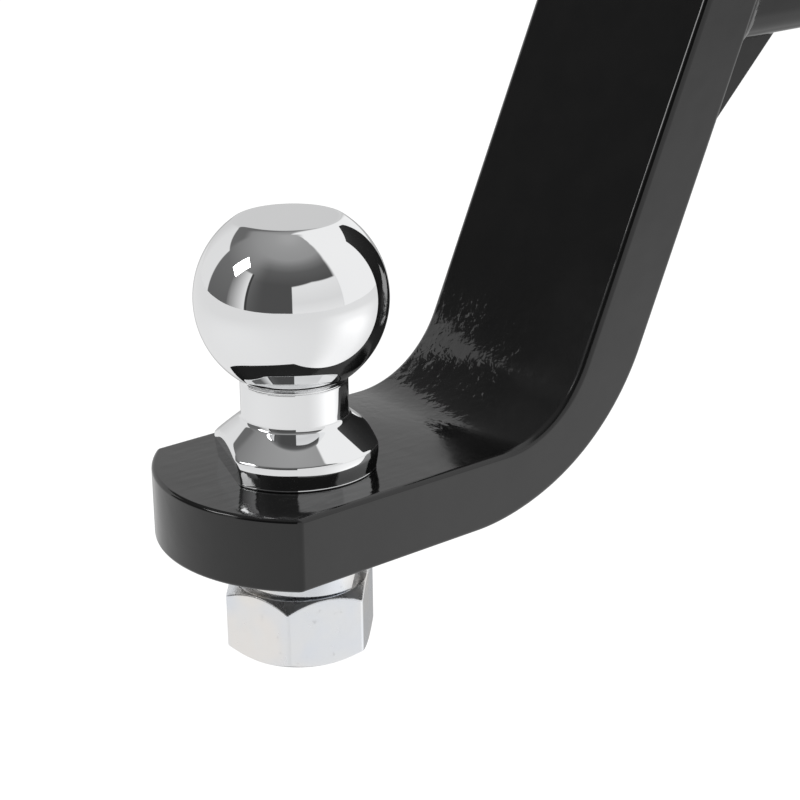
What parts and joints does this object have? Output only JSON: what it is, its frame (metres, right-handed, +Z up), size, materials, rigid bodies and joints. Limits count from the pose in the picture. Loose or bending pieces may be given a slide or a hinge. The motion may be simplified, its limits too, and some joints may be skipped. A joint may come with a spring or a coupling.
{
  "type": "drop ball mount with tow ball",
  "caption": "Square hollow shank welded to a bent flat-bar tongue with a gusset, carrying a chromed tow ball held by a lock washer and a hex nut.",
  "frame": {"origin": "centre of the hitch-pin hole, on the axis of the square shank", "axes": "+X along the shank towards the vehicle, +Y along the hitch-pin hole, +Z up; the ball stands at -X"},
  "size_m": [0.3422, 0.065, 0.2149],
  "materials": {
    "black_coat": "gloss black powder coat",
    "ball_chrome": "mirror chrome plate",
    "zinc": "bright zinc plate"
  },
  "bodies": {
    "bracket": {"tongue": "black_coat", "shank_tube": "black_coat", "gusset": "black_coat", "weld_shank_left": "black_coat", "weld_shank_right": "black_coat", "weld_shank_top": "black_coat", "weld_shank_bottom": "black_coat", "weld_gusset_left": "black_coat", "weld_gusset_right": "black_coat", "hitch_ball": "ball_chrome"},
    "washer": {"lock_washer": "zinc"},
    "nut": {"hex_nut": "zinc"}
  },
  "joints": [
    {"name": "nut_travel", "type": "slide", "parent": "bracket", "child": "washer", "axis": [0, 0, -1], "range_m": [0, 0.0128]},
    {"name": "nut_turn", "type": "hinge", "parent": "washer", "child": "nut", "pos_m": [-0.2413, 0, -0.1637], "axis": [0, 0, -1], "range_deg": [0, 2520]}
  ],
  "couplings": [
    {"joint": "nut_travel", "follows": "nut_turn", "m_per_rad": 0.00028876}
  ]
}
